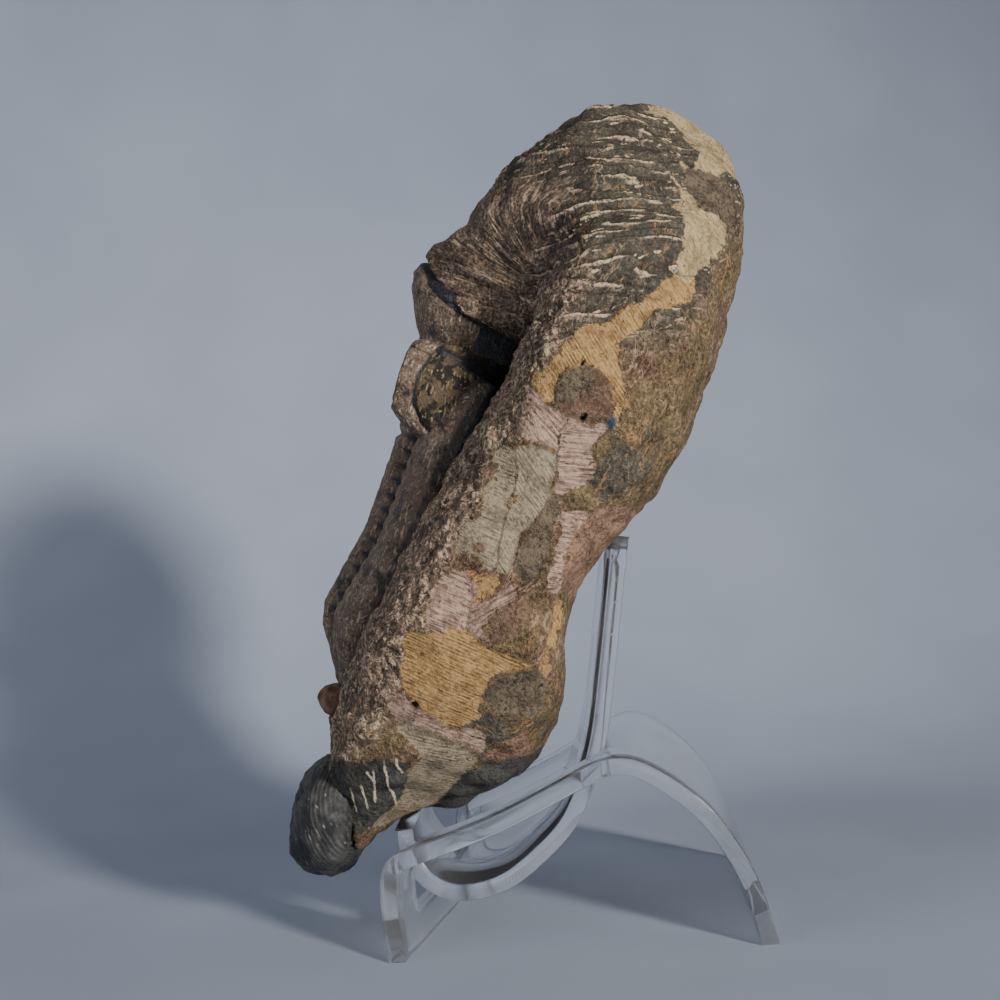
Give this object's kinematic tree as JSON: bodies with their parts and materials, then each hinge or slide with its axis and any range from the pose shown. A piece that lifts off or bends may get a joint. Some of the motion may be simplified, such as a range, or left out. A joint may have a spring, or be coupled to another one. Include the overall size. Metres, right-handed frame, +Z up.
{
  "type": "trilobite fossil on stand",
  "caption": "Prepared trilobite in relief on a leaning limestone block with a dark shell fragment, held upright in a bent clear acrylic easel.",
  "frame": {"origin": "centre of the object's footprint box, on the surface that the stand's feet rest on", "axes": "+Z up; -X is the side that the trilobite faces, which leans back towards +X; -Y is the side of the block with the ground patches"},
  "size_m": [0.0894, 0.0926, 0.1536],
  "materials": {
    "limestone": "matt broken limestone, scraped and air-scribed, with ochre, pink-grey and olive ground patches",
    "trilobite_shell": "matt brown calcite shell with blue-black furrows and fine tool marks",
    "dark_shell": "dark grey fossil shell, faintly satin, with growth bands",
    "clear_acrylic": "polished clear acrylic sheet, bent hot"
  },
  "bodies": {
    "root": {"matrix_rock": "limestone", "trilobite": "trilobite_shell", "shell_fragment": "dark_shell", "stand_cradle": "clear_acrylic", "stand_base": "clear_acrylic"}
  },
  "joints": []
}
